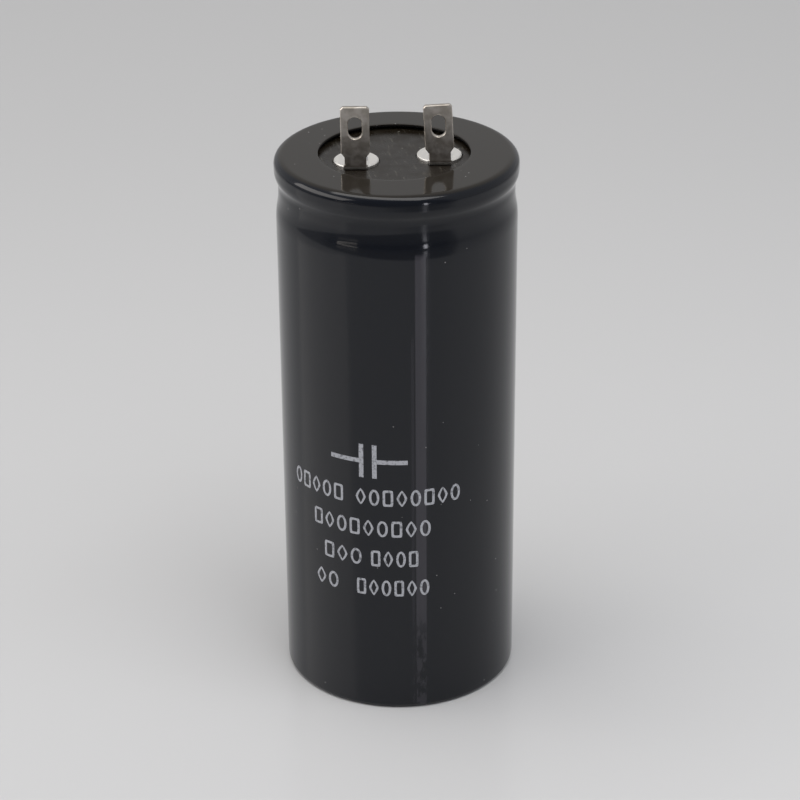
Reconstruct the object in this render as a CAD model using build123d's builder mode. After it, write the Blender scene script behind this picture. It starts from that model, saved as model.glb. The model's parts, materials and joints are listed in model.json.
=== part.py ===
from build123d import *
import os
from math import cos, radians, sin

# Motor start capacitor: a rolled aluminium can in a shrunk plastic sleeve, closed by a
# riveted terminal cover. Millimetres, +Z up, base at zero, the two terminals along X.

# Sleeve: the outside form, heights of the neck measured down from the flange
body_diameter = 40.6
sleeve_height = 96.55
sleeve_wall = 0.3
flange_thickness = 0.4
flange_hole_radius = 12.75
flange_hole_shift_x = -0.31
flange_hole_shift_y = 0.41
flange_edge_chamfer = 0.1
base_edge_radius = 0.9
base_fold_width = 4.5
rim_step = 0.24
rim_lip_run = 1.58
rim_lip_rise = 1.5
rim_band_height = 0.93
groove_depth = 0.42
groove_flat_height = 1.08
groove_drop = 5.76
shoulder_step = 0.043
shoulder_drop = 11.13
shoulder_start_drop = 22.04

# Can: drawn aluminium, beaded under the cover and curled over the seal
can_wall = 0.5
can_base_thickness = 0.8
can_clearance = 0.02
shoulder_round = 10.0
bead_depth = 1.5
bead_height = 2.0
bead_radius = 0.55
collar_round = 0.6
curl_width = 2.9
curl_lip_drop = 1.1
curl_lip_radius = 0.7

# Cover and seal ring
cover_recess = 1.0
cover_clearance = 0.05
cover_edge_chamfer = 0.3
well_depth = 0.35
well_clearance = 0.2
seal_width = 1.75
seal_side_clearance = 0.4
seal_thickness = 1.6

# Terminals: stamped strip on a round riveted base, bent up in front of it; each was bent by hand,
# so reach, rise, turn and lean differ from left to right; angles in degrees
terminal_spacing = 14.04
terminal_shift_x = 0.14
terminal_shift_y = -0.49
strip_thickness = 0.8
base_radius = 3.77
base_edge_chamfer = 0.15
neck_width = 3.6
neck_rise = 2.53
shoulder_height = 0.8
blade_width = 4.75
blade_edge_chamfer = 0.12
tip_chamfer = 0.4
slot_width = 2.3
slot_length = 3.8
slot_drop = 3.6
bend_radius = 0.4
bend_relief = 0.2
left_reach = 3.87
left_rise = 11.28
left_turn = -10.4
left_lean = 0.3
right_reach = 4.37
right_rise = 10.9
right_turn = -8.6
right_lean = 2.7

# Rivets and their inner washers
rivet_radius = 1.25
rivet_clearance = 0.05
rivet_head_radius = 1.95
rivet_head_height = 0.6
rivet_head_edge = 0.2
rivet_tail_radius = 2.1
rivet_tail_height = 0.9
rivet_tail_chamfer = 0.4
washer_radius = 3.3
washer_thickness = 0.8

# Wound element with its tape, insulating disc and lead strips, and the pitch that anchors it
winding_clearance = 0.55
winding_headroom = 11.5
winding_core_radius = 2.5
winding_edge_chamfer = 0.5
lead_width = 5.0
lead_thickness = 0.25
lead_eye_margin = 3.0
lead_reach = 4.4
lead_bend_radius = 1.5
disc_thickness = 1.0
disc_slot_clearance = 0.4
tape_thickness = 0.3
tape_clearance = 0.02
pitch_under = 2.0
pitch_depth = 14.0
pitch_clearance = 0.02

# Overrun of every cut past the face it opens
cut_overrun = 1.0

# Sleeve sizes that follow
body_radius = body_diameter / 2
rim_radius = body_radius + rim_step
groove_radius = body_radius - groove_depth
shoulder_radius = body_radius + shoulder_step
rim_top_z = sleeve_height - rim_lip_rise
rim_low_z = rim_top_z - rim_band_height
groove_z = sleeve_height - groove_drop
groove_low_z = groove_z - groove_flat_height / 2
groove_top_z = groove_z + groove_flat_height / 2
shoulder_z = sleeve_height - shoulder_drop
shoulder_start_z = sleeve_height - shoulder_start_drop

# Can sizes that follow, all kept inside the sleeve
can_inset = sleeve_wall + can_clearance
can_radius = body_radius - can_inset
can_bottom_z = sleeve_wall + can_clearance
can_top_z = sleeve_height - flange_thickness - can_clearance
can_rim_radius = rim_radius - can_inset
can_shoulder_radius = shoulder_radius - can_inset
collar_radius = groove_radius - can_inset
bead_bottom_radius = can_radius - bead_depth
bead_low_z = groove_z - bead_height / 2
bead_top_z = groove_z + bead_height / 2
can_inner_radius = can_radius - can_wall
can_floor_z = can_bottom_z + can_base_thickness

# Cover sizes that follow: it sits on the bead and the curl holds the seal down on its ledge
cover_radius = collar_radius - can_wall - cover_clearance
cover_bottom_z = bead_top_z + can_wall
cover_top_z = sleeve_height - cover_recess
well_floor_z = cover_top_z - well_depth
seal_top_z = can_top_z - can_wall
seal_bottom_z = seal_top_z - seal_thickness
seal_radius = cover_radius - seal_side_clearance
seal_inner_radius = seal_radius - seal_width

# Rivet stack that follows, from the terminal base down to the tail
rivet_hole_radius = rivet_radius + rivet_clearance
head_bottom_z = well_floor_z + strip_thickness
washer_bottom_z = cover_bottom_z - washer_thickness
tail_top_z = washer_bottom_z - lead_thickness
tail_bottom_z = tail_top_z - rivet_tail_height

# Terminal sizes that follow: rivet place, bend and turned seat of each side
bend_outer = bend_radius + strip_thickness
sides = []
for side_name, side_sign, reach, rise, turn, lean in (
    ("left", -1, left_reach, left_rise, left_turn, left_lean),
    ("right", 1, right_reach, right_rise, right_turn, right_lean),
):
    rivet_x = terminal_shift_x + side_sign * terminal_spacing / 2
    seat = Plane((rivet_x, terminal_shift_y, well_floor_z)).rotated((0, 0, turn))
    sides.append((side_name, side_sign, rivet_x, seat, reach, rise, lean))

# Winding and pitch sizes that follow
winding_radius = can_inner_radius - winding_clearance
winding_bottom_z = can_floor_z + pitch_under
winding_top_z = cover_bottom_z - winding_headroom
pitch_top_z = can_floor_z + pitch_depth
tape_top_z = winding_top_z - winding_edge_chamfer
tape_inner_radius = winding_radius + tape_clearance

os.makedirs("parts", exist_ok=True)


def sleeve_wall_line(inset, top_inset):
    """Draw the sleeve's side, rim and flange line, moved inwards by the insets."""
    edge_radius = base_edge_radius - inset
    side = body_radius - inset
    up = (0, 1)
    down = (0, -1)
    shoulder_start = (side, shoulder_start_z)
    shoulder = (shoulder_radius - inset, shoulder_z)
    groove_low = (groove_radius - inset, groove_low_z)
    groove_top = (groove_radius - inset, groove_top_z)
    rim_low = (rim_radius - inset, rim_low_z)
    bends = ((shoulder_start, shoulder), (shoulder, groove_low), (groove_top, rim_low))
    lip_centre = (rim_radius - rim_lip_run, rim_top_z)
    lip_run = rim_lip_run - inset
    lip_rise = rim_lip_rise - top_inset
    flange_start = (flange_hole_radius - cut_overrun, sleeve_height - top_inset)
    fold_end = (body_radius - base_fold_width, inset)
    Line(fold_end, (side - edge_radius, inset))
    CenterArc((side - edge_radius, inset + edge_radius), edge_radius, -90, 90)
    Line((side, inset + edge_radius), shoulder_start)
    for low, high in bends:
        middle = ((low[0] + high[0]) / 2, (low[1] + high[1]) / 2)
        TangentArc(low, middle, tangent=up)
        TangentArc(high, middle, tangent=down)
    Line(groove_low, groove_top)
    Line(rim_low, (rim_radius - inset, rim_top_z))
    EllipticalCenterArc(lip_centre, lip_run, lip_rise, start_angle=0, arc_size=90)
    Line((lip_centre[0], sleeve_height - top_inset), flange_start)
    return fold_end, flange_start


# Sleeve: shrunk black plastic tube, folded over the rim and under the base
with BuildPart() as sleeve:
    with BuildSketch(Plane.XZ):
        with BuildLine():
            outer_ends = sleeve_wall_line(0, 0)
            inner_ends = sleeve_wall_line(sleeve_wall, flange_thickness)
            for outer_end, inner_end in zip(outer_ends, inner_ends):
                Line(outer_end, inner_end)
        make_face()
    revolve(axis=Axis.Z)
    with BuildSketch(Plane.XY.offset(sleeve_height + cut_overrun)):
        with Locations((flange_hole_shift_x, flange_hole_shift_y)):
            Circle(flange_hole_radius)
    extrude(amount=-(flange_thickness + 2 * cut_overrun), mode=Mode.SUBTRACT)
    hole_rim = sleeve.edges().filter_by(GeomType.CIRCLE).group_by(Axis.Z)[-1].sort_by(SortBy.RADIUS)[0]
    chamfer(hole_rim, flange_edge_chamfer)
sleeve.part.label = "sleeve"
export_step(sleeve.part, "parts/sleeve.step")

# Can: one sheet line from the base centre to the curl, thickened inwards
with BuildPart() as can:
    with BuildSketch(Plane.XZ):
        with BuildLine():
            wall = FilletPolyline(
                (can_radius, can_bottom_z),
                (can_radius, (shoulder_start_z + shoulder_z) / 2),
                (can_shoulder_radius, shoulder_z),
                (bead_bottom_radius, bead_low_z),
                (bead_bottom_radius, bead_top_z),
                (collar_radius, bead_top_z),
                (can_rim_radius, rim_low_z),
                (can_rim_radius, can_top_z - curl_lip_drop),
                (rim_radius - rim_lip_run, can_top_z),
                (can_rim_radius - curl_width, can_top_z),
                radius=[
                    shoulder_round,
                    bead_radius + can_wall,
                    bead_radius,
                    bead_radius,
                    collar_round,
                    bead_radius + can_wall,
                    curl_lip_radius,
                    curl_lip_radius,
                ],
            )
            offset(wall, amount=can_wall, side=Side.LEFT)
        make_face()
        with BuildLine():
            Polyline(
                (0, can_bottom_z),
                (can_radius, can_bottom_z),
                (can_radius, can_floor_z),
                (0, can_floor_z),
                close=True,
            )
        make_face()
    revolve(axis=Axis.Z)
    can_base_edge = can.edges().filter_by(GeomType.CIRCLE).group_by(Axis.Z)[0]
    fillet(can_base_edge, base_edge_radius - sleeve_wall)
can.part.label = "can"
export_step(can.part, "parts/can.step")

# Cover: moulded phenolic disc with a ledge for the seal and two riveted wells, each with a
# notch that keeps its terminal from turning
with BuildPart() as cover:
    with BuildSketch(Plane.XZ):
        with BuildLine():
            Polyline(
                (0, cover_bottom_z),
                (cover_radius - cover_edge_chamfer, cover_bottom_z),
                (cover_radius, cover_bottom_z + cover_edge_chamfer),
                (cover_radius, seal_bottom_z),
                (seal_inner_radius - cover_clearance, seal_bottom_z),
                (seal_inner_radius - cover_clearance, cover_top_z),
                (0, cover_top_z),
                close=True,
            )
        make_face()
    revolve(axis=Axis.Z)
    for _, _, _, seat, reach, _, _ in sides:
        notch_reach = reach + well_clearance
        with BuildSketch(seat):
            Circle(base_radius + well_clearance)
            with Locations((0, -notch_reach / 2)):
                Rectangle(neck_width + 2 * well_clearance, notch_reach)
        extrude(amount=well_depth, mode=Mode.SUBTRACT)
        with BuildSketch(seat):
            Circle(rivet_hole_radius)
        extrude(amount=-(well_floor_z - cover_bottom_z), mode=Mode.SUBTRACT)
cover.part.label = "cover"
export_step(cover.part, "parts/cover.step")

# Seal ring: rubber, between the cover's ledge and the curl
with BuildPart() as seal_ring:
    with BuildSketch(Plane.XY.offset(seal_bottom_z)):
        Circle(seal_radius)
        Circle(seal_inner_radius, mode=Mode.SUBTRACT)
    extrude(amount=seal_thickness)
seal_ring.part.label = "seal_ring"
export_step(seal_ring.part, "parts/seal_ring.step")


def blade_outline(rise, lean):
    """Give the blade's outline above the bend, leaned sideways about the bend's middle."""
    half_neck = neck_width / 2
    half_blade = blade_width / 2
    lean_cos = cos(radians(lean))
    lean_sin = sin(radians(lean))
    rises = (neck_rise - bend_outer, neck_rise + shoulder_height - bend_outer, rise - bend_outer)
    right_side = [
        (half_neck, rises[0]),
        (half_blade, rises[1]),
        (half_blade, rises[2] - tip_chamfer),
        (half_blade - tip_chamfer, rises[2]),
    ]
    left_side = [(-x, z) for x, z in reversed(right_side)]
    leaned = [(x * lean_cos - z * lean_sin, x * lean_sin + z * lean_cos) for x, z in right_side + left_side]
    slot_rise = rises[2] - slot_drop
    slot_centre = (-slot_rise * lean_sin, slot_rise * lean_cos)
    return [(half_neck, 0)] + leaned + [(-half_neck, 0)], slot_centre


# Terminals, lead strips, rivets and washers: the same set on each side of the cover
for side_name, side_sign, rivet_x, seat, reach, rise, lean in sides:
    rivet_y = terminal_shift_y
    bend_start = reach - bend_outer
    outline, slot_centre = blade_outline(rise, lean)
    front = Plane(seat.from_local_coords((0, -reach, bend_outer)), x_dir=seat.x_dir, z_dir=-seat.y_dir)
    profile_plane = Plane(seat.origin, x_dir=seat.y_dir, z_dir=seat.x_dir)

    # Terminal: slotted blade, neck bent at the front of a round base
    with BuildPart() as terminal:
        with BuildSketch(front):
            with BuildLine():
                Polyline(*outline, close=True)
            make_face()
            with Locations(slot_centre):
                SlotOverall(slot_length, slot_width, rotation=90 + lean, mode=Mode.SUBTRACT)
        extrude(amount=-strip_thickness)
        blade_faces = terminal.faces().filter_by(Axis((0, 0, 0), front.z_dir))
        neck_foot = terminal.edges().group_by(Axis.Z)[0]
        blade_edges = [edge for face in blade_faces for edge in face.edges() if edge not in neck_foot]
        chamfer(blade_edges, blade_edge_chamfer)
        with BuildSketch(seat):
            Circle(base_radius)
            with Locations((0, -(bend_start + base_radius / 2))):
                Rectangle(neck_width + 2 * bend_relief, base_radius, mode=Mode.SUBTRACT)
        extrude(amount=strip_thickness)
        base_rim = terminal.edges(Select.LAST).filter_by(GeomType.CIRCLE).group_by(Axis.Z)[-1]
        chamfer(base_rim, base_edge_chamfer)
        with BuildSketch(profile_plane):
            with BuildLine():
                Line((0, 0), (-bend_start, 0))
                CenterArc((-bend_start, bend_outer), bend_outer, -90, -90)
                Line((-reach, bend_outer), (strip_thickness - reach, bend_outer))
                CenterArc((-bend_start, bend_outer), bend_radius, 180, 90)
                Line((-bend_start, strip_thickness), (0, strip_thickness))
                Line((0, strip_thickness), (0, 0))
            make_face()
        extrude(amount=neck_width / 2, both=True)
        with BuildSketch(seat):
            Circle(rivet_hole_radius)
        extrude(amount=strip_thickness, mode=Mode.SUBTRACT)
    terminal.part.label = f"terminal_{side_name}"
    export_step(terminal.part, f"parts/terminal_{side_name}.step")

    # Rivet: domed head on the terminal, shank through the cover, upset tail under the lead
    rivet_axis_plane = Plane((rivet_x, rivet_y, 0), x_dir=(1, 0, 0), z_dir=(0, -1, 0))
    with BuildPart() as rivet:
        with BuildSketch(rivet_axis_plane):
            with BuildLine():
                Polyline(
                    (0, head_bottom_z + rivet_head_height),
                    (0, tail_bottom_z),
                    (rivet_tail_radius - rivet_tail_chamfer, tail_bottom_z),
                    (rivet_tail_radius, tail_bottom_z + rivet_tail_chamfer),
                    (rivet_tail_radius, tail_top_z),
                    (rivet_radius, tail_top_z),
                    (rivet_radius, head_bottom_z),
                    (rivet_head_radius, head_bottom_z),
                    (rivet_head_radius, head_bottom_z + rivet_head_edge),
                )
                TangentArc(
                    (0, head_bottom_z + rivet_head_height),
                    (rivet_head_radius, head_bottom_z + rivet_head_edge),
                    tangent=(1, 0),
                )
            make_face()
        revolve(axis=Axis((rivet_x, rivet_y, 0), (0, 0, 1)))
    rivet.part.label = f"rivet_{side_name}"
    export_step(rivet.part, f"parts/rivet_{side_name}.step")

    # Rivet washer: spreads the tail's grip under the cover
    with BuildPart() as rivet_washer:
        with BuildSketch(Plane((rivet_x, rivet_y, washer_bottom_z))):
            Circle(washer_radius)
            Circle(rivet_hole_radius, mode=Mode.SUBTRACT)
        extrude(amount=washer_thickness)
    rivet_washer.part.label = f"rivet_washer_{side_name}"
    export_step(rivet_washer.part, f"parts/rivet_washer_{side_name}.step")

    # Lead strip: soft aluminium, from the winding's end up and in under the washer
    lead_plane = Plane((rivet_x, rivet_y, 0), x_dir=(side_sign, 0, 0), z_dir=(0, -side_sign, 0))
    with BuildPart() as lead_strip:
        with BuildSketch(lead_plane):
            with BuildLine():
                lead_line = FilletPolyline(
                    (-lead_eye_margin, washer_bottom_z),
                    (lead_reach, washer_bottom_z),
                    (lead_reach, winding_top_z),
                    radius=lead_bend_radius,
                )
                offset(lead_line, amount=lead_thickness, side=Side.RIGHT)
            make_face()
        extrude(amount=lead_width / 2, both=True)
        with BuildSketch(Plane((rivet_x, rivet_y, washer_bottom_z))):
            Circle(rivet_hole_radius)
        extrude(amount=-lead_thickness, mode=Mode.SUBTRACT)
    lead_strip.part.label = f"lead_strip_{side_name}"
    export_step(lead_strip.part, f"parts/lead_strip_{side_name}.step")

# Winding: foil and paper rolled on a mandrel, left hollow at the core
with BuildPart() as winding:
    with BuildSketch(Plane.XY.offset(winding_bottom_z)):
        Circle(winding_radius)
        Circle(winding_core_radius, mode=Mode.SUBTRACT)
    extrude(amount=winding_top_z - winding_bottom_z)
    roll_ends = winding.edges().filter_by(GeomType.CIRCLE).group_by(SortBy.RADIUS)[-1]
    chamfer(roll_ends, winding_edge_chamfer)
winding.part.label = "winding"
export_step(winding.part, "parts/winding.step")

# Winding tape: paper wrap that keeps the roll tight, from the pitch up
with BuildPart() as winding_tape:
    with BuildSketch(Plane.XY.offset(pitch_top_z)):
        Circle(tape_inner_radius + tape_thickness)
        Circle(tape_inner_radius, mode=Mode.SUBTRACT)
    extrude(amount=tape_top_z - pitch_top_z)
winding_tape.part.label = "winding_tape"
export_step(winding_tape.part, "parts/winding_tape.step")

# Insulating disc: fibre, lies on the winding and lets the two leads through
with BuildPart() as insulating_disc:
    with BuildSketch(Plane.XY.offset(winding_top_z)):
        Circle(winding_radius)
        Circle(winding_core_radius, mode=Mode.SUBTRACT)
        for _, side_sign, rivet_x, _, _, _, _ in sides:
            lead_x = rivet_x + side_sign * (lead_reach - lead_thickness / 2)
            with Locations((lead_x, terminal_shift_y)):
                Rectangle(
                    lead_thickness + 2 * disc_slot_clearance,
                    lead_width + 2 * disc_slot_clearance,
                    mode=Mode.SUBTRACT,
                )
    extrude(amount=disc_thickness)
insulating_disc.part.label = "insulating_disc"
export_step(insulating_disc.part, "parts/insulating_disc.step")

# Anchor pitch: poured in the can's base, up round the foot of the winding
with BuildPart() as anchor_pitch:
    with BuildSketch(Plane.XY.offset(can_floor_z)):
        Circle(can_inner_radius - pitch_clearance)
    extrude(amount=pitch_depth)
    with BuildSketch(Plane.XY.offset(winding_bottom_z)):
        Circle(winding_radius + pitch_clearance)
    extrude(amount=pitch_depth, mode=Mode.SUBTRACT)
anchor_pitch.part.label = "anchor_pitch"
export_step(anchor_pitch.part, "parts/anchor_pitch.step")
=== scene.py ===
import bpy
import json
import math
import numpy as np
from functools import partial
from mathutils import Matrix, Vector

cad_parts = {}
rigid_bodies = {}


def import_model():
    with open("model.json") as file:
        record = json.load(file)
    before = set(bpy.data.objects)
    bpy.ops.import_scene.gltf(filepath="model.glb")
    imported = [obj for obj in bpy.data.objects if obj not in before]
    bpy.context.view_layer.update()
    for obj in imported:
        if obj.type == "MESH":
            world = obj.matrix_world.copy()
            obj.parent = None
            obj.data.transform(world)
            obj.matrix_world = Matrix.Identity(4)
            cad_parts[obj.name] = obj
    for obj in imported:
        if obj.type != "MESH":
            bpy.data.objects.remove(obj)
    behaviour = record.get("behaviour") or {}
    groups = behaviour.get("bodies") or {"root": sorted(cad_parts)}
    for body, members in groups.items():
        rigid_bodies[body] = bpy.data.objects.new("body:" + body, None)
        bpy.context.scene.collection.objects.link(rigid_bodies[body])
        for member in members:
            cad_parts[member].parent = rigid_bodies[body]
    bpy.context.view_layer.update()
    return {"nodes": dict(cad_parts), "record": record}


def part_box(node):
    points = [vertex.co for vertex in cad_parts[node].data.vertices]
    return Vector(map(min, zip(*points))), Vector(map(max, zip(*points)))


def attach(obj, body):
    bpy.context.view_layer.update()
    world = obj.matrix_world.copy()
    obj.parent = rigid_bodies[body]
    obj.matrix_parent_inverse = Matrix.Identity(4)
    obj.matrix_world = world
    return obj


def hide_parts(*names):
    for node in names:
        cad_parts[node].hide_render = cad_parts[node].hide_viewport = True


# Motor start capacitor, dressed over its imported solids: black shrink sleeve, printed ink,
# phenolic cover and tinned blades, on a pale satin table.

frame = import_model()
mm = 0.001  # frame units are metres
print("frame loaded:", len(frame["nodes"]), "nodes")


# small helpers

def hexColour(text):  # sRGB hex to the linear colour that shaders take
    channels = np.array([int(text[i:i + 2], 16) for i in (1, 3, 5)]) / 255
    linear = np.where(channels <= 0.04045, channels / 12.92, ((channels + 0.055) / 1.055) ** 2.4)
    return (*linear.tolist(), 1.0)


def perMetre(sizeMm):  # texture scale whose features are about this many millimetres
    return 1 / (sizeMm * mm)


def inMetres(edgesMm):
    return [edge * mm for edge in edgesMm]


def addNode(tree, kind, sockets=(), out=0, **settings):
    # a row of sockets fills the first ones in turn, a dictionary names them; each takes a value,
    # a hex colour or another node's output, and the node's own output comes back
    node = tree.nodes.new("ShaderNode" + kind)
    for key, value in settings.items():
        setattr(node, key, value)
    for key, value in sockets.items() if isinstance(sockets, dict) else enumerate(sockets):
        if isinstance(value, bpy.types.NodeSocket):
            tree.links.new(value, node.inputs[key])
        else:
            node.inputs[key].default_value = hexColour(value) if isinstance(value, str) else value
    return node.outputs[out] if node.outputs else None


# settings that many nodes share
softEnds = {"interpolation_type": "SMOOTHSTEP"}                # Map Range: value, from and to ends
overlay = {"out": 2, "data_type": "RGBA"}                      # Mix: factor in 0, colours in 6 and 7
times = {"operation": "MULTIPLY"}
alongAxis = {"out": "Value", "operation": "DOT_PRODUCT"}
patchy = 4.0                                                   # Noise: layers of finer noise in patches
noiseMiddle = (0.3, 0.7)                                       # Noise: where nearly all its values lie
wholeRange = (0.0, 1.0)


def newMaterial(name):  # an empty material, its node adder and the object coordinates its patterns read
    material = bpy.data.materials.new(name)
    material.use_nodes = True
    material.node_tree.nodes.clear()
    add = partial(addNode, material.node_tree)
    return material, add, add("TexCoord", out="Object")


def gridPiece(name, points, wrapU=True, wrapV=False, capEnds=False, smooth=True):
    # a grids x rows x columns x 3 array of points becomes quads between neighbours; wrapU joins the
    # last column to the first, wrapV the last row to the first, and capEnds closes the first and
    # last column with one face each
    points = points.reshape(-1, *points.shape[-3:])
    grids, rows, columns = points.shape[:3]
    index = np.arange(grids * rows * columns).reshape(grids, rows, columns)
    stepU, stepV = np.roll(index, -1, axis=2), np.roll(index, -1, axis=1)
    both = np.roll(stepU, -1, axis=1)
    quads = np.stack([index, stepU, both, stepV], axis=-1)
    quads = quads[:, :rows if wrapV else rows - 1, :columns if wrapU else columns - 1].reshape(-1, 4).tolist()
    if capEnds:
        quads += index[:, :, 0].tolist() + index[:, ::-1, -1].tolist()
    mesh = bpy.data.meshes.new(name)
    mesh.from_pydata(points.reshape(-1, 3).tolist(), [], quads)
    mesh.polygons.foreach_set("use_smooth", np.full(len(quads), smooth))
    piece = bpy.data.objects.new(name, mesh)
    bpy.context.scene.collection.objects.link(piece)
    return piece


# camera, matched to the photograph's outline; its own turn also places lamps and table

camera = {
    "turn": -9.5,         # degrees about Z, from looking along +Y
    "elevation": 26.63,   # degrees above the table
    "distance": 466.83,   # mm from the aim
    "aimHeight": 49.61,   # mm
    "roll": -0.442,       # degrees
    "lens": 120.56,       # mm on a 36 mm sensor
    "shift": (0.00189, 0.00519),
    "clipStart": 10.0,    # mm
}
viewTurn = Matrix.Rotation(math.radians(camera["turn"]), 3, "Z")


def fromView(right, away, up):  # mm seen from the camera's side: right, away from it and up
    return viewTurn @ Vector((right, away, up)) * mm


def makeCamera():
    lift = math.radians(camera["elevation"])
    aim = fromView(0, 0, camera["aimHeight"])
    reach = camera["distance"]
    eye = aim + fromView(0, -reach * math.cos(lift), reach * math.sin(lift))
    lens = bpy.data.cameras.new("camera")
    lens.lens = camera["lens"]
    lens.shift_x, lens.shift_y = camera["shift"]
    lens.clip_start = camera["clipStart"] * mm
    eyePiece = bpy.data.objects.new("camera", lens)
    level = (aim - eye).to_track_quat("-Z", "Y").to_matrix()
    rolled = level @ Matrix.Rotation(math.radians(camera["roll"]), 3, "Z")
    eyePiece.matrix_world = Matrix.Translation(eye) @ rolled.to_4x4()
    bpy.context.scene.collection.objects.link(eyePiece)
    bpy.context.scene.camera = eyePiece


makeCamera()
bpy.context.scene.view_settings.view_transform = "Standard"
print("camera set")

# table and light

studio = {
    "tableRadius": 4000.0,        # mm
    "tableRings": 40,
    "tableColumns": 96,
    "tableCentre": 0.001,         # innermost ring, as the root of its share of the radius
    "tableColour": "#cecece",
    "tableFarShade": "#c3c3c3",        # painted shade: darker behind the object, where less light falls
    "farRange": (-60.0, 330.0),   # mm behind it, where that fades in
    "tableShade": "#888889",      # unlit table round the lit patch, as gloss sees it
    "litCentre": (-69.0, 139.0, 0.0),  # mm seen from the camera, middle of the lit patch
    "litEdge": (378.0, 408.0),    # mm from there, where it ends
    "unlitTurn": 59.0,            # degrees right of the camera, where the unlit part ends
    "unlitFade": (0.0, -60.0),    # mm past that line
    "tableRoughness": 0.22,
    "paleSide": "#b8b8b9",        # light walls behind and beside the object
    "darkSide": "#78787b",        # unlit room on the camera's side
    "backdrop": "#bcbcbd",        # what the camera itself sees past the table
    "darkTurn": -10.0,            # degrees, middle of the dark side from the camera
    "darkEdge": (0.38, 0.6),      # where the dark side fades in, as a cosine
}
leftPanel = ((-842, -172, 520), (1050, 500))  # place and size; the gloss sees more of it than the table
lamps = {  # place seen from the camera in mm, size in mm, power in W, colour, lights things, is mirrored
    "overheadSoftbox": ((-40, -60, 950), (1000, 420), 3.75, "#fffdfa", True, True),
    "leftSoftbox": (*leftPanel, 4.25, "#fffaf5", False, True),
    "leftWash": (*leftPanel, 3.0, "#fffaf5", True, False),
    "rightSoftbox": ((480, -360, 860), (800, 500), 1.75, "#f3f7ff", True, False),
    "frontFill": ((-150, -500, 950), (1200, 500), 2.6, "#fbfbff", True, False),
    "frontStrip": ((311, -649, 146), (42, 236), 0.26, "#f6f6ff", False, True),
    "leftTube": ((-512, -489, 25), (242, 9), 0.026, "#fff6ec", False, True),
}
darkTurn = math.radians(studio["darkTurn"])
darkAxis = viewTurn @ Vector((math.sin(darkTurn), -math.cos(darkTurn), 0))
awayAxis = viewTurn @ Vector((0, 1, 0))
unlitTurn = math.radians(studio["unlitTurn"])
unlitAxis = viewTurn @ Vector((math.cos(unlitTurn), math.sin(unlitTurn), 0))


def makeTable():
    # rings about the origin whose radius grows as the square of the ring's number
    rings, columns = studio["tableRings"], studio["tableColumns"]
    ring = np.linspace(studio["tableCentre"], 1, rings)[:, None] ** 2 * studio["tableRadius"] * mm
    angle = np.linspace(0, 2 * np.pi, columns, endpoint=False)
    points = np.stack([ring * np.cos(angle), ring * np.sin(angle), np.zeros((rings, columns))], axis=-1)
    table = gridPiece("table", points)
    # satin acrylic sheet: a pale diffuse body under a smooth clear skin that mirrors faintly
    material, add, place = newMaterial("satin acrylic table")
    away = add("VectorMath", (place, awayAxis), **alongAxis)
    # painted shade: the table's colour darkens behind the object, where less lamp light reaches
    farShadeMask = add("MapRange", (away, *inMetres(studio["farRange"])), **softEnds)
    reach = add("VectorMath", (place, fromView(*studio["litCentre"])), out="Value", operation="DISTANCE")
    unlit = add("MapRange", (reach, *inMetres(studio["litEdge"])), **softEnds)
    mirrored = add("LightPath", out="Is Glossy Ray")
    lit = add("Mix", {0: farShadeMask, 6: studio["tableColour"], 7: studio["tableFarShade"]}, **overlay)
    past = add("VectorMath", (place, unlitAxis), **alongAxis)
    onDarkSide = add("MapRange", (past, *inMetres(studio["unlitFade"])), **softEnds)
    darkPatch = add("Math", (unlit, onDarkSide), **times)
    shade = add("Math", (darkPatch, mirrored), **times)
    colour = add("Mix", {0: shade, 6: lit, 7: studio["tableShade"]}, **overlay)
    surface = add("BsdfPrincipled", {"Base Color": colour, "Roughness": studio["tableRoughness"]})
    add("OutputMaterial", {"Surface": surface})
    table.data.materials.append(material)


def makeLamps():
    aim = fromView(0, 0, camera["aimHeight"])
    for name, (place, size, power, colour, lights, mirrored) in lamps.items():
        light = bpy.data.lights.new(name, "AREA")
        light.shape = "RECTANGLE"
        light.size, light.size_y = inMetres(size)
        light.energy = power
        light.color = hexColour(colour)[:3]
        lamp = bpy.data.objects.new(name, light)
        lamp.location = fromView(*place)
        lamp.visible_camera = False  # out of every picture, whatever side it is taken from
        lamp.visible_diffuse = lights
        lamp.visible_glossy = mirrored
        lamp.rotation_euler = (aim - lamp.location).to_track_quat("-Z", "Y").to_euler()
        bpy.context.scene.collection.objects.link(lamp)


def makeRoom():
    # pale on the far side of the object, dark behind the camera, plain where the camera looks past the table
    world = bpy.data.worlds.new("studio room")
    world.use_nodes = True
    world.node_tree.nodes.clear()
    add = partial(addNode, world.node_tree)
    heading = add("TexCoord", out="Generated")
    towards = add("VectorMath", (heading, darkAxis), **alongAxis)
    dark = add("MapRange", (towards, *studio["darkEdge"]), **softEnds)
    walls = add("Mix", {0: dark, 6: studio["paleSide"], 7: studio["darkSide"]}, **overlay)
    seen = add("LightPath", out="Is Camera Ray")
    colour = add("Mix", {0: seen, 6: walls, 7: studio["backdrop"]}, **overlay)
    background = add("Background", {"Color": colour})
    add("OutputWorld", {"Surface": background})
    bpy.context.scene.world = world


makeTable()
makeLamps()
makeRoom()
print("table, lamps and room made")

# sleeve

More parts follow.
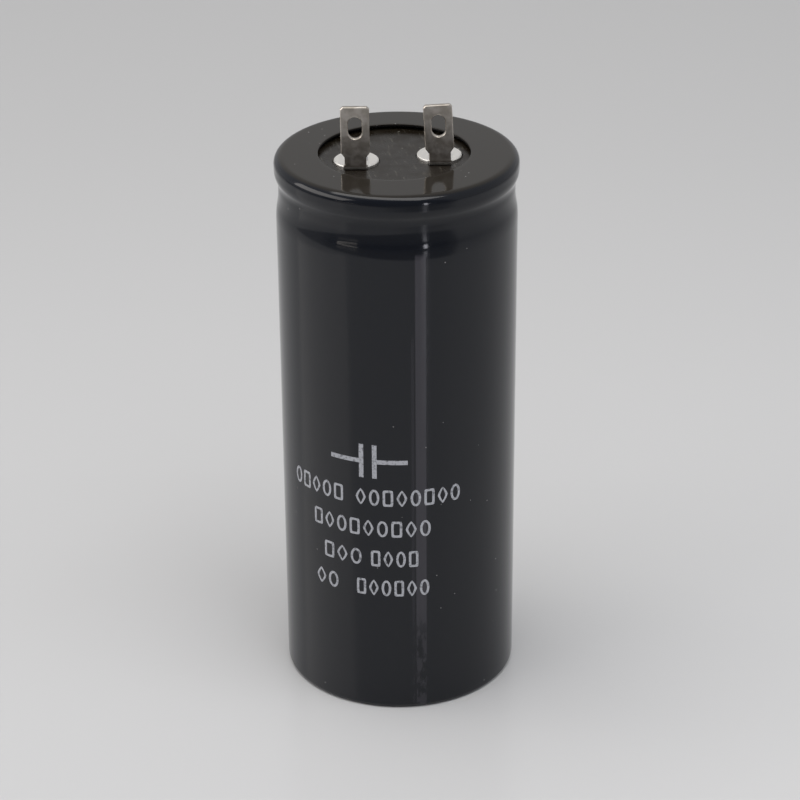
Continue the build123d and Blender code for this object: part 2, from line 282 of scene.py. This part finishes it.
sleeveLow, sleeveHigh = (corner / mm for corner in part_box("sleeve"))
sleeve = {
    "radius": 20.3,               # mm, as all lengths here
    "wall": 0.3,
    "flangeThickness": 0.4,
    "foldWidth": 4.5,
    "baseEdge": 0.9,
    "shoulderStart": 22.04,       # drops below the flange
    "shoulderDrop": 11.13,
    "shoulderStep": 0.043,
    "grooveDrops": (6.3, 5.22),   # lower and upper end of the groove's straight floor
    "grooveDepth": 0.42,
    "rimDrop": 2.43,
    "lipRun": 1.58,
    "lipRise": 1.5,
    "holeRadius": 12.75,
    "holeShift": (-0.31, 0.41),
    "holeEdge": 0.1,
    "columns": 360,
    "outerSteps": 12,             # points per short stretch of the line, outside and inside
    "innerSteps": 6,
    "ripple": 0.006,              # how far the shrunk film wanders in and out
    "waves": (                    # number per turn, mm per radian, phase
        (3, 9.0, 0.4), (5, -14.0, 2.1), (8, 6.0, 4.4), (2, -21.0, 1.2),
    ),
    "calm": 8.0,                  # run over which the waves die out towards base and rim
    "calmTop": 1.0,               # drop below the flange where none are left
}
sleeveTop = sleeveHigh.z
rimRadius = min(sleeveHigh.x, sleeveHigh.y, -sleeveLow.x, -sleeveLow.y) - sleeve["ripple"]


def bend(start, end, count):  # two equal arcs from one (radius, height) to the next, upright at both ends
    step, climb = end[0] - start[0], end[1] - start[1]
    arcRadius = (step ** 2 + climb ** 2) / (4 * abs(step))
    up = np.linspace(0, climb, count, endpoint=False)
    nearEnd = np.minimum(up, climb - up)
    swing = np.sign(step) * (arcRadius - np.sqrt(arcRadius ** 2 - nearEnd ** 2))
    return np.stack([start[0] + np.where(up < climb / 2, swing, step - swing), start[1] + up], axis=-1)


def straight(start, end, count):  # even steps, the end left to what follows
    return np.linspace(start, end, count, endpoint=False)


def quarter(centre, run, rise, startDeg, count):  # a quarter of an ellipse, turning towards +90
    angle = np.radians(np.linspace(startDeg, startDeg + 90, count, endpoint=False))
    return np.stack([centre[0] + run * np.cos(angle), centre[1] + rise * np.sin(angle)], axis=-1)


def sleeveLine(inset, topInset, count):
    # radius and height from the base fold up the side, over the neck and in to the flange;
    # count sets how many points each stretch gets
    s = sleeve
    few, many, most = count // 2, 2 * count, 4 * count
    side = s["radius"] - inset
    edge = s["baseEdge"] - inset
    grooveLow, grooveHigh = (sleeveTop - drop for drop in s["grooveDrops"])
    neck = [
        (side, sleeveTop - s["shoulderStart"]),
        (side + s["shoulderStep"], sleeveTop - s["shoulderDrop"]),
        (side - s["grooveDepth"], grooveLow),
        (side - s["grooveDepth"], grooveHigh),
        (rimRadius - inset, sleeveTop - s["rimDrop"]),
    ]
    lipCentre = (rimRadius - s["lipRun"], sleeveTop - s["lipRise"])
    stretches = [
        straight((s["radius"] - s["foldWidth"], inset), (side - edge, inset), few),
        quarter((side - edge, inset + edge), edge, edge, -90, count),
        straight((side, inset + edge), neck[0], most),
        bend(neck[0], neck[1], count),
        bend(neck[1], neck[2], many),
        straight(neck[2], neck[3], few),
        bend(neck[3], neck[4], many),
        straight(neck[4], (rimRadius - inset, lipCentre[1]), few),
        quarter(lipCentre, s["lipRun"] - inset, s["lipRise"] - topInset, 0, many),
    ]
    return np.concatenate(stretches), (lipCentre[0], sleeveTop - topInset)


def makeSleeve():
    # the line up the outside, across the flange, through its hole and back down the inside is one
    # closed loop, turned about the axis
    s = sleeve
    outer, outerEnd = sleeveLine(0, 0, s["outerSteps"])
    inner, innerEnd = sleeveLine(s["wall"], s["flangeThickness"], s["innerSteps"])
    hole, edge = s["holeRadius"], s["holeEdge"]
    flange = [
        straight(outerEnd, (hole + edge, sleeveTop), s["outerSteps"]),
        quarter((hole + edge, sleeveTop - edge), edge, edge, 90, s["innerSteps"]),
        straight((hole, sleeveTop - edge), (hole, innerEnd[1]), s["innerSteps"] // 2),
        straight((hole, innerEnd[1]), innerEnd, s["innerSteps"]),
    ]
    line = np.concatenate([outer, *flange, inner[::-1]])
    radius, height = line[:, :1], line[:, 1:]
    angle = np.linspace(0, 2 * np.pi, s["columns"], endpoint=False)
    # the flange's rings slide from the sleeve's axis to the hole's centre on their way in
    slide = np.clip((outerEnd[0] - radius) / (outerEnd[0] - hole), 0, 1) * (height > sleeveTop / 2)
    # a few slow waves round and along the film, none at the base, the rim's edge or the flange
    calm = np.clip(height / s["calm"], 0, 1) * np.clip((sleeveTop - s["calmTop"] - height) / s["calm"], 0, 1)
    waves = [np.cos(turns * angle + height / run + phase) for turns, run, phase in s["waves"]]
    radius = radius + s["ripple"] * calm * np.mean(waves, axis=0)
    x = radius * np.cos(angle) + slide * s["holeShift"][0]
    y = radius * np.sin(angle) + slide * s["holeShift"][1]
    points = np.stack([x, y, np.broadcast_to(height, x.shape)], axis=-1) * mm
    piece = gridPiece("shrink_sleeve", points, wrapV=True)
    piece.data.materials.append(shrinkPvc())
    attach(piece, "root")
    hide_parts("sleeve")


film = {
    "black": "#0a0e16",
    "creaseSheenGrey": "#38373d",      # film whitened along the fold of the flat tube, painted paler as a reflection streak
    "dust": "#8c8b8a",
    "haze": "#1e1a14",            # brownish handling film on the flange
    "hazeDrops": (0.4, 0.05),     # mm below the flange, where it fades in
    "creaseTurn": 1.05,           # degrees from -Y towards +X; the tube's other fold is opposite
    "creaseHalfWidth": 0.9,       # mm
    "creaseSoft": 0.12,           # mm, how soft its edges are
    "lineOffset": 1.4,            # mm from the fold's middle to a fainter line beside it
    "lineHalfWidth": 0.22,
    "lineTop": (73.0, 70.0),      # mm above the base, where that line starts
    "lineShare": 0.3,             # of the fold's paleness
    "creaseTop": (86.8, 86.0),    # mm above the base, where the shrunk neck has drawn it flat
    "creaseWorn": (22.0, 12.0),   # mm above the base, where it breaks up
    "wornPatch": 0.8,             # mm, size of the breaks
    "wornDetail": 3.0,            # layers of finer noise, as every detail below
    "wornStretch": (1.0, 1.0, 0.4),  # they run along the fold
    "wornRange": (0.4, 0.6),      # of the noise
    "wornLoss": (0.35, 1.0),      # share of its paleness lost there, least and most
    "speckGap": 3.6,              # mm between specks of dust
    "speckRange": (0.036, 0.02),  # share of that gap, from clean film to speck
    "gritGap": 1.7,               # mm between finer specks on the flange
    "gritRange": (0.075, 0.04),
    "gritPatch": 8.0,             # mm, size of the dusty patches
    "gritPatchRange": (0.5, 0.62),
    "gloss": 11.0,                # mm, size of the smeared patches
    "glossRange": (0.35, 0.7),
    "roughness": (0.07, 0.13),
    "peel": 1.4,                  # mm, size of the orange peel
    "peelDetail": 1.0,
    "peelDepth": 0.05,            # mm
    "peelStrength": 0.03,
    "ior": 1.43,
}


def shrinkPvc():
    # heat-shrunk PVC film: near-black, smooth as extruded, so it mirrors the room; slight orange
    # peel, two pale fold lines of the flat tube painted paler as a reflection streak, handling haze
    # and specks of dust
    material, add, place = newMaterial("heat-shrunk black PVC")
    turn = math.radians(film["creaseTurn"])
    height = add("SeparateXYZ", (place,), out="Z")
    across = add("VectorMath", (place, (math.cos(turn), math.sin(turn), 0)), **alongAxis)
    fold = []
    soft = film["creaseSoft"]
    for offset, half, share, top in (
        (0.0, film["creaseHalfWidth"], 1.0, film["creaseTop"]),
        (film["lineOffset"], film["lineHalfWidth"], film["lineShare"], film["lineTop"]),
    ):
        shifted = add("Math", (across, offset * mm), operation="ADD")
        distance = add("Math", (shifted,), operation="ABSOLUTE")
        stripe = add("MapRange", (distance, *inMetres((half + soft, half - soft)), 0.0, share), **softEnds)
        below = add("MapRange", (height, *inMetres(top)), **softEnds)
        fold.append(add("Math", (stripe, below), **times))
    pale = add("Math", fold, operation="ADD")
    stretched = add("VectorMath", (place, film["wornStretch"]), **times)
    breakSockets = {"Vector": stretched, "Scale": perMetre(film["wornPatch"]), "Detail": film["wornDetail"]}
    breaks = add("TexNoise", breakSockets)
    loss = add("MapRange", (breaks, *film["wornRange"], *film["wornLoss"]), **softEnds)
    worn = add("MapRange", (height, *inMetres(film["creaseWorn"])), **softEnds)
    lost = add("Math", (worn, loss), **times)
    kept = add("Math", (1.0, lost), operation="SUBTRACT")
    # painted reflection: the fold stripes are made pale to stand for a reflection streak on the film
    creaseSheen = add("Math", (pale, kept), **times)
    side = add("Mix", {0: creaseSheen, 6: film["black"], 7: film["creaseSheenGrey"]}, **overlay)

    onFlange = add("MapRange", (height, *inMetres(sleeveTop - np.array(film["hazeDrops"]))), **softEnds)
    hazed = add("Mix", {0: onFlange, 6: side, 7: film["haze"]}, **overlay)
    specks = add("TexVoronoi", {"Vector": place, "Scale": perMetre(film["speckGap"])}, out="Distance")
    speck = add("MapRange", (specks, *film["speckRange"]), **softEnds)
    specked = add("Mix", {0: speck, 6: hazed, 7: film["dust"]}, **overlay)
    grits = add("TexVoronoi", {"Vector": place, "Scale": perMetre(film["gritGap"])}, out="Distance")
    grit = add("MapRange", (grits, *film["gritRange"]), **softEnds)
    patches = add("TexNoise", {"Vector": place, "Scale": perMetre(film["gritPatch"])})
    patch = add("MapRange", (patches, *film["gritPatchRange"]), **softEnds)
    patchGrit = add("Math", (grit, patch), **times)
    flangeGrit = add("Math", (patchGrit, onFlange), **times)
    colour = add("Mix", {0: flangeGrit, 6: specked, 7: film["dust"]}, **overlay)

    smears = add("TexNoise", {"Vector": place, "Scale": perMetre(film["gloss"]), "Detail": patchy})
    gloss = add("MapRange", (smears, *film["glossRange"], *film["roughness"]), **softEnds)
    peel = add("TexNoise", {"Vector": place, "Scale": perMetre(film["peel"]), "Detail": film["peelDetail"]})
    relief = {"Height": peel, "Strength": film["peelStrength"], "Distance": film["peelDepth"] * mm}
    normal = add("Bump", relief)
    sockets = {"Base Color": colour, "Roughness": gloss, "Normal": normal, "IOR": film["ior"]}
    add("OutputMaterial", {"Surface": add("BsdfPrincipled", sockets)})
    return material


makeSleeve()
print("sleeve made")

# print: a generic capacitor sign over rows of small outlines that stand for lines of text

ink = {
    "turn": -24.5,                # degrees from -Y towards +X, middle of every row
    "proud": 0.02,                # mm over the film
    "sunk": 0.05,                 # mm into it
    "columns": 48,                # points round an outline
    "strokeColumns": 12,          # points along a stroke
    "signHeight": 48.75,          # mm, middle of the sign above the base
    "stroke": 0.42,               # mm, line width of the outlines
    "tall": 3.1,                  # mm, height of the outlines
    "gapShare": 0.24,             # share of an outline's pitch that stays free
    "powers": (2.0, 7.0, 1.25),   # superellipse powers in turn: ring, box, diamond
    "paint": "#b9bbc1",
    "wornPaint": "#6c6e74",
    "wear": 0.45,                 # mm, size of the thin spots
    "wearRange": (0.5, 0.72),
    "roughness": 0.45,
}
strokes = [  # the sign: left end and right end along the arc and tallness, all mm
    (-6.8, -1.5, 0.8), (-1.55, -0.75, 6.3), (0.75, 1.55, 6.3), (1.5, 6.8, 0.8),
]
words = [  # left end and right end along the arc, middle height, number of outlines
    (-16.2, -4.3, 41.9, 5), (-2.5, 16.4, 41.9, 8),
    (-11.1, 11.0, 35.95, 9),
    (-8.9, -1.0, 30.1, 3), (0.1, 8.8, 30.1, 4),
    (-10.8, -5.5, 24.35, 2), (-2.5, 10.7, 24.35, 6),
]


def screenInk():
    # screen-printed ink: flat grey-white, thin enough that the film shows through where it is worn
    material, add, place = newMaterial("screen printed ink")
    wear = add("TexNoise", {"Vector": place, "Scale": perMetre(ink["wear"]), "Detail": patchy})
    thin = add("MapRange", (wear, *ink["wearRange"]), **softEnds)
    colour = add("Mix", {0: thin, 6: ink["paint"], 7: ink["wornPaint"]}, **overlay)
    surface = add("BsdfPrincipled", {"Base Color": colour, "Roughness": ink["roughness"]})
    add("OutputMaterial", {"Surface": surface})
    return material


def onFilm(arc, height, lift):  # mm round the body from the print's middle, up, and out from the film
    angle = np.radians(ink["turn"]) + arc / sleeve["radius"]
    radius = sleeve["radius"] + lift
    return np.stack([radius * np.sin(angle), -radius * np.cos(angle), height + 0 * arc], axis=-1) * mm


def makePrint():
    turn = np.linspace(0, 2 * np.pi, ink["columns"], endpoint=False)
    lifts = (ink["proud"], ink["proud"], -ink["sunk"], -ink["sunk"])
    # outlines: the superellipse (a |cos|^(2/n), b |sin|^(2/n)) and the same one a stroke further in
    cells = []
    for left, right, middle, count in words:
        edges = np.linspace(left, right, count + 1)
        cells += [(low, high, middle) for low, high in zip(edges, edges[1:])]
    low, high, middle = (column[:, None] for column in np.array(cells).T)
    power = 2 / np.resize(ink["powers"], len(cells))[:, None]
    across = np.sign(np.cos(turn)) * np.abs(np.cos(turn)) ** power
    along = np.sign(np.sin(turn)) * np.abs(np.sin(turn)) ** power
    wide = (high - low) * (1 - ink["gapShare"]) / 2
    half = ink["tall"] / 2
    rings = [onFilm((low + high) / 2 + (wide - inset) * across, middle + (half - inset) * along, lift)
             for inset, lift in zip((0, ink["stroke"], ink["stroke"], 0), lifts)]
    outlines = gridPiece("print_outlines", np.stack(rings, axis=1), wrapV=True, smooth=False)
    # sign: each stroke is a loop of four corners swept along its length, closed at both ends
    left, right, tall = (column[:, None] for column in np.array(strokes).T)
    arc = left + (right - left) * np.linspace(0, 1, ink["strokeColumns"])
    heights = [ink["signHeight"] + side * tall / 2 for side in (-1, 1, 1, -1)]
    loops = [onFilm(arc, height, lift) for height, lift in zip(heights, lifts)]
    corners = np.stack(loops, axis=1)
    sign = gridPiece("print_sign", corners, wrapU=False, wrapV=True, capEnds=True, smooth=False)
    paint = screenInk()
    for piece in (outlines, sign):
        piece.data.materials.append(paint)
        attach(piece, "root")


makePrint()
print("print made:", len(strokes), "strokes,", len(words), "words")

# finishes of the solids that stay

moulding = {
    "dark": "#14100b",
    "pale": "#221d16",
    "scuff": "#423f38",
    "dust": "#9a978f",
    "grain": 2.5,                 # mm
    "grainDetail": 6.0,
    "grainDepth": 0.05,           # mm
    "grainStrength": 0.08,
    "scuffWidth": 0.5,            # mm
    "scuffStretch": (1.0, 0.15, 1.0),
    "scuffRange": (0.57, 0.74),
    "dustGap": 2.2,               # mm
    "dustRange": (0.07, 0.03),
    "roughness": (0.22, 0.38),
    "ior": 1.42,
}


def phenolic():
    # moulded phenolic: black with a brown cast, satin, scuffed by handling and dusty in the recess
    material, add, place = newMaterial("moulded phenolic")
    grainSockets = {"Vector": place, "Scale": perMetre(moulding["grain"]), "Detail": moulding["grainDetail"]}
    grain = add("TexNoise", grainSockets)
    body = add("Mix", {0: grain, 6: moulding["dark"], 7: moulding["pale"]}, **overlay)
    stretched = add("VectorMath", (place, moulding["scuffStretch"]), **times)
    streakSockets = {"Vector": stretched, "Scale": perMetre(moulding["scuffWidth"]), "Detail": patchy}
    streaks = add("TexNoise", streakSockets)
    scuff = add("MapRange", (streaks, *moulding["scuffRange"]), **softEnds)
    scuffed = add("Mix", {0: scuff, 6: body, 7: moulding["scuff"]}, **overlay)
    cells = add("TexVoronoi", {"Vector": place, "Scale": perMetre(moulding["dustGap"])}, out="Distance")
    dust = add("MapRange", (cells, *moulding["dustRange"]), **softEnds)
    colour = add("Mix", {0: dust, 6: scuffed, 7: moulding["dust"]}, **overlay)
    gloss = add("MapRange", (grain, *noiseMiddle, *moulding["roughness"]), **softEnds)
    relief = {"Height": grain, "Strength": moulding["grainStrength"], "Distance": moulding["grainDepth"] * mm}
    normal = add("Bump", relief)
    sockets = {"Base Color": colour, "Roughness": gloss, "Normal": normal, "IOR": moulding["ior"]}
    add("OutputMaterial", {"Surface": add("BsdfPrincipled", sockets)})
    return material


tin = {
    "pale": "#d0cac2",
    "dull": "#b1aaa0",
    "foot": "#f6f4f0",            # painted highlight: near white where the overhead lamp shines on the foot
    "footTop": (96.2, 96.05),     # mm above the base
    "cloud": 1.5,                 # mm
    "cloudDetail": 5.0,
    "cloudRange": (0.35, 0.65),
    "smear": 0.6,                 # mm
    "roughness": (0.34, 0.46),
    "footRough": 0.1,             # rougher than that on the foot
    "dimple": 0.9,                # mm
    "dimpleDetail": 2.0,
    "dimpleDepth": 0.03,          # mm
    "dimpleStrength": 0.15,
}


def tinnedStrip():
    # hot-tinned brass strip: soft grey mirror gone cloudy; the foot is painted near white as a highlight
    # where the overhead lamp shines on it, and made more matt there
    material, add, place = newMaterial("tinned brass strip")
    height = add("SeparateXYZ", (place,), out="Z")
    foot = add("MapRange", (height, *inMetres(tin["footTop"])), **softEnds)
    clouds = add("TexNoise", {"Vector": place, "Scale": perMetre(tin["cloud"]), "Detail": tin["cloudDetail"]})
    cloud = add("MapRange", (clouds, *tin["cloudRange"]), **softEnds)
    blade = add("Mix", {0: cloud, 6: tin["pale"], 7: tin["dull"]}, **overlay)
    # painted highlight: the foot is coloured near white where the overhead lamp shines on it
    colour = add("Mix", {0: foot, 6: blade, 7: tin["foot"]}, **overlay)
    smears = add("TexNoise", {"Vector": place, "Scale": perMetre(tin["smear"]), "Detail": patchy})
    gloss = add("MapRange", (smears, *noiseMiddle, *tin["roughness"]), **softEnds)
    footRough = add("Math", (foot, tin["footRough"]), **times)
    roughness = add("Math", (gloss, footRough), operation="ADD")
    dimpleSockets = {"Vector": place, "Scale": perMetre(tin["dimple"]), "Detail": tin["dimpleDetail"]}
    dimples = add("TexNoise", dimpleSockets)
    relief = {"Height": dimples, "Strength": tin["dimpleStrength"], "Distance": tin["dimpleDepth"] * mm}
    normal = add("Bump", relief)
    sockets = {"Base Color": colour, "Metallic": 1.0, "Roughness": roughness, "Normal": normal}
    add("OutputMaterial", {"Surface": add("BsdfPrincipled", sockets)})
    return material


aluminium = {  # name, bright and dull colour, stretch of the tool lines, roughness
    "can_aluminium": ("drawn aluminium can", "#d6d7d9", "#c2c3c6", (1.0, 1.0, 0.02), (0.25, 0.4)),
    "rivet_aluminium": ("upset aluminium rivet", "#dedede", "#cacacb", (1.0, 1.0, 1.0), (0.3, 0.5)),
    "lead_aluminium": ("rolled aluminium lead", "#d2d3d4", "#bdbec0", (1.0, 1.0, 0.05), (0.2, 0.35)),
}
toolMarks = {
    "line": 0.4,                  # mm
    "lineDepth": 0.02,            # mm
    "lineStrength": 0.1,
    "cloud": 4.0,                 # mm
    "cloudRange": (0.35, 0.65),
}


def sheetAluminium(name, bright, dull, stretch, roughness):
    # aluminium straight from forming: bright, with the tool's fine lines along the stretch
    material, add, place = newMaterial(name)
    stretched = add("VectorMath", (place, stretch), **times)
    lines = add("TexNoise", {"Vector": stretched, "Scale": perMetre(toolMarks["line"]), "Detail": patchy})
    clouds = add("TexNoise", {"Vector": place, "Scale": perMetre(toolMarks["cloud"]), "Detail": patchy})
    cloud = add("MapRange", (clouds, *toolMarks["cloudRange"]), **softEnds)
    colour = add("Mix", {0: cloud, 6: bright, 7: dull}, **overlay)
    gloss = add("MapRange", (lines, *noiseMiddle, *roughness), **softEnds)
    relief = {"Height": lines, "Strength": toolMarks["lineStrength"], "Distance": toolMarks["lineDepth"] * mm}
    sockets = {"Base Color": colour, "Metallic": 1.0, "Roughness": gloss, "Normal": add("Bump", relief)}
    add("OutputMaterial", {"Surface": add("BsdfPrincipled", sockets)})
    return material


rubber = {
    "dark": "#151515",
    "pale": "#202020",
    "bloom": "#2c2c2a",
    "meal": 0.3,                  # mm
    "mealDetail": 3.0,
    "mealDepth": 0.05,            # mm
    "mealStrength": 0.3,
    "bloomPatch": 5.0,            # mm
    "bloomRange": (0.45, 0.7),
    "roughness": (0.7, 0.85),
}


def sealRubber():
    # pressed rubber: dead matt charcoal with a mealy grain and paler bloom
    material, add, place = newMaterial("pressed seal rubber")
    mealSockets = {"Vector": place, "Scale": perMetre(rubber["meal"]), "Detail": rubber["mealDetail"]}
    meal = add("TexNoise", mealSockets)
    body = add("Mix", {0: meal, 6: rubber["dark"], 7: rubber["pale"]}, **overlay)
    patches = add("TexNoise", {"Vector": place, "Scale": perMetre(rubber["bloomPatch"]), "Detail": patchy})
    bloom = add("MapRange", (patches, *rubber["bloomRange"]), **softEnds)
    colour = add("Mix", {0: bloom, 6: body, 7: rubber["bloom"]}, **overlay)
    gloss = add("MapRange", (meal, *noiseMiddle, *rubber["roughness"]), **softEnds)
    relief = {"Height": meal, "Strength": rubber["mealStrength"], "Distance": rubber["mealDepth"] * mm}
    sockets = {"Base Color": colour, "Roughness": gloss, "Normal": add("Bump", relief)}
    add("OutputMaterial", {"Surface": add("BsdfPrincipled", sockets)})
    return material


kraft = {
    "dark": "#8c6a40",
    "pale": "#b8935f",
    "wet": "#6d5030",
    "turns": 6.0,                 # mm; real turns are too fine to show, so the rings are this coarse
    "turnsDistortion": 0.4,
    "turnsDepth": 0.05,           # mm
    "turnsStrength": 0.2,
    "wetPatch": 9.0,              # mm
    "wetRange": (0.45, 0.65),
    "roughness": (0.7, 0.4),      # dry and wet
}


def windingPaper():
    # foil rolled in oiled kraft paper: tan, with the edges of the turns as fine rings and darker wet patches
    material, add, place = newMaterial("oiled kraft winding")
    ringSockets = {"Vector": place, "Scale": perMetre(kraft["turns"]), "Distortion": kraft["turnsDistortion"]}
    rings = add("TexWave", ringSockets, out="Fac", wave_type="RINGS", rings_direction="Z")
    paper = add("Mix", {0: rings, 6: kraft["dark"], 7: kraft["pale"]}, **overlay)
    patches = add("TexNoise", {"Vector": place, "Scale": perMetre(kraft["wetPatch"]), "Detail": patchy})
    wet = add("MapRange", (patches, *kraft["wetRange"]), **softEnds)
    colour = add("Mix", {0: wet, 6: paper, 7: kraft["wet"]}, **overlay)
    gloss = add("MapRange", (wet, *wholeRange, *kraft["roughness"]), **softEnds)
    relief = {"Height": rings, "Strength": kraft["turnsStrength"], "Distance": kraft["turnsDepth"] * mm}
    sockets = {"Base Color": colour, "Roughness": gloss, "Normal": add("Bump", relief)}
    add("OutputMaterial", {"Surface": add("BsdfPrincipled", sockets)})
    return material


fibre = {
    "dark": "#5a3426",
    "pale": "#7d4c38",
    "strand": 0.5,                # mm
    "strandStretch": (0.12, 1.0, 1.0),
    "strandDetail": 5.0,
    "strandDepth": 0.03,          # mm
    "strandStrength": 0.25,
    "roughness": (0.5, 0.7),
}


def fibreBoard():
    # vulcanised fibre board: red-brown and hard, with pressed strands that all lie one way
    material, add, place = newMaterial("vulcanised fibre board")
    stretched = add("VectorMath", (place, fibre["strandStretch"]), **times)
    strandSockets = {"Vector": stretched, "Scale": perMetre(fibre["strand"]), "Detail": fibre["strandDetail"]}
    strands = add("TexNoise", strandSockets)
    colour = add("Mix", {0: strands, 6: fibre["dark"], 7: fibre["pale"]}, **overlay)
    gloss = add("MapRange", (strands, *noiseMiddle, *fibre["roughness"]), **softEnds)
    relief = {"Height": strands, "Strength": fibre["strandStrength"], "Distance": fibre["strandDepth"] * mm}
    sockets = {"Base Color": colour, "Roughness": gloss, "Normal": add("Bump", relief)}
    add("OutputMaterial", {"Surface": add("BsdfPrincipled", sockets)})
    return material


pitch = {
    "dark": "#0f0b08",
    "pale": "#2a211a",
    "ripple": 6.0,                # mm
    "rippleDepth": 0.3,           # mm
    "rippleStrength": 0.4,
    "skinRange": (0.35, 0.7),
    "roughness": (0.15, 0.45),
}


def pouredPitch():
    # pitch poured hot: brown-black and glossy, with slow ripples and dull skin
    material, add, place = newMaterial("poured pitch")
    skin = add("TexNoise", {"Vector": place, "Scale": perMetre(pitch["ripple"]), "Detail": patchy})
    colour = add("Mix", {0: skin, 6: pitch["dark"], 7: pitch["pale"]}, **overlay)
    gloss = add("MapRange", (skin, *pitch["skinRange"], *pitch["roughness"]), **softEnds)
    relief = {"Height": skin, "Strength": pitch["rippleStrength"], "Distance": pitch["rippleDepth"] * mm}
    sockets = {"Base Color": colour, "Roughness": gloss, "Normal": add("Bump", relief)}
    add("OutputMaterial", {"Surface": add("BsdfPrincipled", sockets)})
    return material


finishes = {
    "cover_phenolic": phenolic(),
    "terminal_tinned": tinnedStrip(),
    "seal_rubber": sealRubber(),
    "winding_paper": windingPaper(),
    "disc_fibre": fibreBoard(),
    "pitch": pouredPitch(),
    **{slot: sheetAluminium(*values) for slot, values in aluminium.items()},
}
for row in frame["record"]["subparts"]:
    if row["material_slot"] in finishes:
        target = bpy.data.objects[row["node"]].data.materials
        target.clear()
        target.append(finishes[row["material_slot"]])
print("finishes set:", len(finishes))

bpy.context.view_layer.update()
